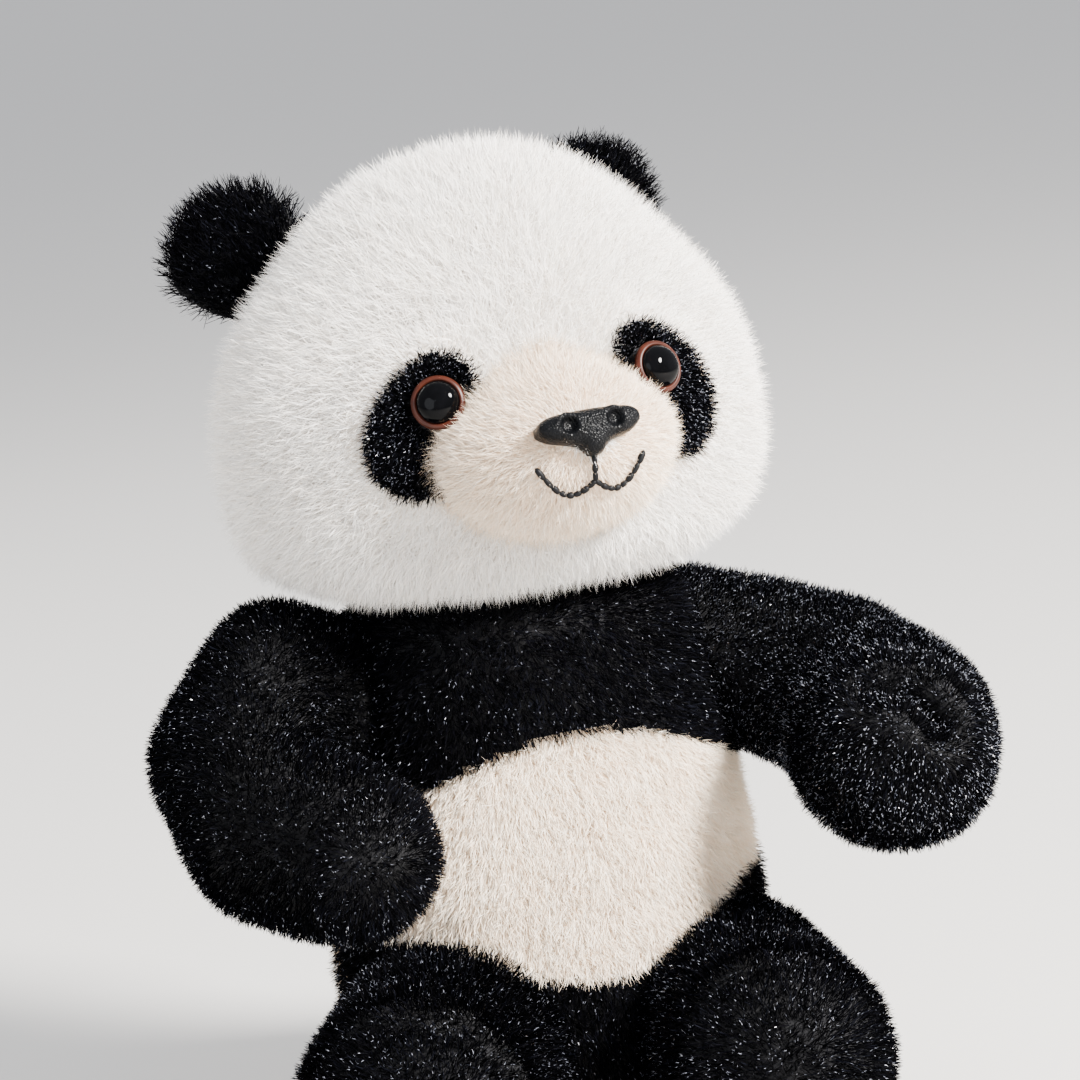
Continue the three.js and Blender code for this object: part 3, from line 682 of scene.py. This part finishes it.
for k, side in enumerate(SIGN):
    skin = remeshed(f"{side}_arm_skin", [copy_of(f"{side}_arm_stuffing")], voxel=4.0, smooth=3, inset=1.4)
    stuffed(skin, cap=1.5)
    finish_skin(skin, lumps=0.6, seed=61 + k)
    skin.data.materials.append(BLACK_BACK)
    if side == "left":
        fold(skin, PAW_FOLD, width=3.8, depth=9.5)
    else:
        swell(skin, **SHOULDER_SWELL)
    add(skin, f"{side}_arm", "black_plush", f"{side}_arm_stuffing")
    # The left arm lies in the light and gets three times the painted highlights of the right arm, which lies
    # in shade.
    add(plant(f"{side}_arm_fur", skin, where=everywhere, length=constant(4.2),
              comb=limb_comb(ARM[side], PAW_MIDDLE[side], radius=26), per_mm2=4.3, wide=0.105,
              lean=0.35, clump=2.0, painted_glint_share=fold_free_painted_highlights if side == "left" else 0.1, seed=30 + k,
              **BLACK_FUR),
        f"{side}_arm", "black_plush", f"{side}_arm_upper_panel", f"{side}_arm_under_panel")

# ---- legs ---------------------------------------------------------------------------------------
for k, side in enumerate(SIGN):
    skin = remeshed(f"{side}_leg_skin", [copy_of(f"{side}_leg_stuffing")], voxel=4.0, smooth=3, inset=1.4)
    stuffed(skin, cap=1.5)
    finish_skin(skin, lumps=0.8, seed=71 + k)
    floor_at(skin)
    skin.data.materials.append(BLACK_BACK)
    splay = math.radians(LEG_SPLAY[side])
    hip = np.array((SIGN[side] * LEG_HIP[0], LEG_HIP[1], LEG_HIP[2]), float)
    ahead = np.array((SIGN[side] * math.sin(splay), -math.cos(splay), 0))
    sole = hip + ahead * LEG_REACH
    add(skin, f"{side}_leg", "black_plush", f"{side}_leg_stuffing")
    add(plant(f"{side}_leg_fur", skin, where=everywhere, length=constant(4.6),
              comb=limb_comb([hip, sole], sole, radius=30), per_mm2=3.8, wide=0.11, lean=0.45,
              clump=2.4, painted_glint_share=0.12, seed=40 + k, **BLACK_FUR),
        f"{side}_leg", "black_plush", f"{side}_leg_upper_panel", f"{side}_leg_under_panel",
        f"{side}_foot_sole_panel")

# ---- neck wad -----------------------------------------------------------------------------------
wad = remeshed("neck_wad", [copy_of("neck_stuffing")], voxel=2.5, smooth=4, inset=0.4)
finish_skin(wad, lumps=0.8, seed=81)
wad.data.materials.append(backing("polyester_wad", (0.7, 0.7, 0.68), (0.9, 0.9, 0.88), scale=500, bump=0.8))
add(wad, "neck", "polyester_stuffing", "neck_stuffing")


# ---- hard face parts ------------------------------------------------------------------------------
def lathe(name, profile, at, out, n=72):
    """A turned piece whose axis leaves the point at along the direction out."""
    turn = np.array(Vector((0, 0, 1)).rotation_difference(Vector(out)).to_matrix())
    t = np.linspace(0, 2 * np.pi, n, endpoint=False)
    rings = [np.stack([r * np.cos(t), r * np.sin(t), np.full(n, h)], 1) * MM @ turn.T + at
             for r, h in profile]
    obj = new_object(name, closed_loft(name, rings))
    shade_smooth(obj)
    return obj


def arc_profile(points, steps=6):
    """A smooth line through a turned piece's profile points."""
    pts = [Vector((r, h, 0)) for r, h in points]
    out = []
    for i in range(len(pts) - 1):
        p0, p1, p2, p3 = pts[max(i - 1, 0)], pts[i], pts[i + 1], pts[min(i + 2, len(pts) - 1)]
        for s in range(steps):
            t = s / steps
            q = 0.5 * ((2 * p1) + (p2 - p0) * t + (2 * p0 - 5 * p1 + 4 * p2 - p3) * t * t
                       + (3 * p1 - p0 - 3 * p2 + p3) * t ** 3)
            out.append((max(q.x, 0.05), q.y))
    out.append((max(pts[-1].x, 0.05), pts[-1].y))
    return out


def moulded(name, dark, light, rough, specular=0.5, scale=400.0, grain=0.0):
    """Moulded plastic with a slight change of tone, and a grain where there is one."""
    m, tree, p = principled(name)
    where = tree.nodes.new("ShaderNodeTexCoord")
    noise = tree.nodes.new("ShaderNodeTexNoise")
    noise.inputs["Scale"].default_value = scale
    noise.inputs["Detail"].default_value = 8
    ramp = tree.nodes.new("ShaderNodeValToRGB")
    ramp.color_ramp.elements[0].color, ramp.color_ramp.elements[1].color = (*dark, 1), (*light, 1)
    ramp.color_ramp.elements[0].position, ramp.color_ramp.elements[1].position = 0.35, 0.7
    tree.links.new(where.outputs["Object"], noise.inputs["Vector"])
    tree.links.new(noise.outputs["Fac"], ramp.inputs["Fac"])
    tree.links.new(ramp.outputs["Color"], p.inputs["Base Color"])
    if grain:
        relief = tree.nodes.new("ShaderNodeBump")
        relief.inputs["Strength"].default_value = grain
        relief.inputs["Distance"].default_value = 0.0002
        pebble = tree.nodes.new("ShaderNodeTexVoronoi")
        pebble.inputs["Scale"].default_value = scale * 4
        tree.links.new(where.outputs["Object"], pebble.inputs["Vector"])
        tree.links.new(pebble.outputs["Distance"], relief.inputs["Height"])
        tree.links.new(relief.outputs["Normal"], p.inputs["Normal"])
    p.inputs["Roughness"].default_value = rough
    p.inputs["Specular IOR Level"].default_value = specular
    return m


RIM = moulded("eye_rim_brown", (0.028, 0.006, 0.003), (0.050, 0.011, 0.005), rough=0.36, specular=0.2)
DOME = moulded("eye_black", (0.0008, 0.0008, 0.001), (0.0016, 0.0016, 0.002), rough=0.04, specular=0.07)
NOSE = moulded("nose_black", (0.0008, 0.0009, 0.0012), (0.003, 0.0032, 0.004), rough=0.34, specular=0.1,
               scale=500, grain=1.0)
THREAD = moulded("thread_black", (0.001, 0.001, 0.0013), (0.004, 0.004, 0.005), rough=0.5, specular=0.15,
                 scale=2500)
NYLON = moulded("washer_nylon", (0.70, 0.72, 0.73), (0.80, 0.82, 0.83), rough=0.4)

for side, (at, out) in EYES.items():
    rim = lathe(f"{side}_eye_rim", arc_profile(EYE_RIM), at, out)
    rim.data.materials.append(RIM)
    add(rim, "head", "amber_eye", f"{side}_eye_iris")
    dome = lathe(f"{side}_eye_dome", arc_profile(EYE_DOME), at, out)
    dome.data.materials.append(DOME)
    add(dome, "head", "black_eye", f"{side}_eye_pupil")
    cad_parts[f"{side}_eye_washer"].data.materials[0] = NYLON
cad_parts["nose_washer"].data.materials[0] = NYLON

nose = remeshed("nose_moulding", [copy_of("nose")], voxel=0.55, smooth=3, inset=0.0)
nose.data.materials.append(NOSE)
shade_smooth(nose)
add(nose, "head", "nose_plastic", "nose")


def stitch(start, end, out, radius):
    """The rings of one plump stitch that runs a little past both its ends."""
    middle, way = (start + end) / 2, end - start
    long = np.linalg.norm(way) / 2 * STITCH["overlap"]
    way = unit(way)
    side = np.cross(out, way)
    t = np.linspace(0, 2 * np.pi, STITCH["sides"], endpoint=False)
    round_it = np.cos(t)[:, None] * side + np.sin(t)[:, None] * out
    return [middle + way * long * s + radius * math.sqrt(max(0.02, 1 - abs(s) ** 2.6)) * round_it
            for s in np.linspace(-1, 1, STITCH["rings"])]


def stitches():
    """The mouth in back stitch, on the pile: a short fall from the nose and an arc to each side."""
    fall = [(0.0, MOUTH["top"] - (MOUTH["top"] - MOUTH["z"]) * k / 3) for k in range(4)]
    smile = [(MOUTH["reach"] * t, MOUTH["z"] - MOUTH["dip"] * math.sin(math.pi * t) + MOUTH["rise"] * t * t)
             for t in np.linspace(0, 1, 9)]
    points, faces = [], []
    for line in (fall, smile, [(-x, z) for x, z in smile]):
        for k, (p, q) in enumerate(zip(line[:-1], line[1:])):
            start, out = on_snout(*p, raise_by=STITCH["off"])
            end, _ = on_snout(*q, raise_by=STITCH["off"])
            radius = (STITCH["radius"] + STITCH["uneven"] * (k % 2)) * MM
            mesh = closed_loft("stitch", stitch(start, end, out, radius))
            first = len(points)
            points += [tuple(v.co) for v in mesh.vertices]
            faces += [[first + i for i in f.vertices] for f in mesh.polygons]
    obj = new_object("mouth_stitches", mesh_from("mouth_stitches", points, faces))
    shade_smooth(obj)
    obj.data.materials.append(THREAD)
    return obj


add(stitches(), "head", "black_thread", "mouth_stitching")

# ---- floor and light --------------------------------------------------------------------------------
FLOOR_HALF = 60                                  # metres
corners = [(x * FLOOR_HALF, y * FLOOR_HALF, 0) for x, y in ((-1, -1), (1, -1), (1, 1), (-1, 1))]
floor = new_object("floor", mesh_from("floor", corners, [(0, 1, 2, 3)]))
floor_look, tree, p = principled("pale_floor")
p.inputs["Base Color"].default_value = (0.72, 0.70, 0.67, 1)
p.inputs["Roughness"].default_value = 0.8
floor.data.materials.append(floor_look)

world = bpy.data.worlds.new("studio")
world.use_nodes = True
world.node_tree.nodes["Background"].inputs["Color"].default_value = (0.90, 0.93, 1.0, 1)
world.node_tree.nodes["Background"].inputs["Strength"].default_value = 0.95
bpy.context.scene.world = world
LIT_POINT = Vector((0, 0, 0.13))


def softbox(name, place, size, power, colour):
    """A round area light that faces the panda, with its place in metres."""
    light = bpy.data.lights.new(name, "AREA")
    light.shape, light.size, light.energy, light.color = "DISK", size, power, colour
    obj = bpy.data.objects.new(name, light)
    bpy.context.scene.collection.objects.link(obj)
    obj.location = place
    obj.rotation_mode = "QUATERNION"
    obj.rotation_quaternion = (LIT_POINT - Vector(place)).to_track_quat("-Z", "Y")


softbox("key", (0.75, -0.95, 0.95), size=0.35, power=135, colour=(1.0, 0.97, 0.93))
softbox("fill", (-1.0, -0.8, 0.5), size=0.9, power=8, colour=(0.9, 0.95, 1.0))
softbox("rim", (-0.5, 1.0, 0.9), size=0.5, power=8, colour=(1.0, 0.98, 0.95))
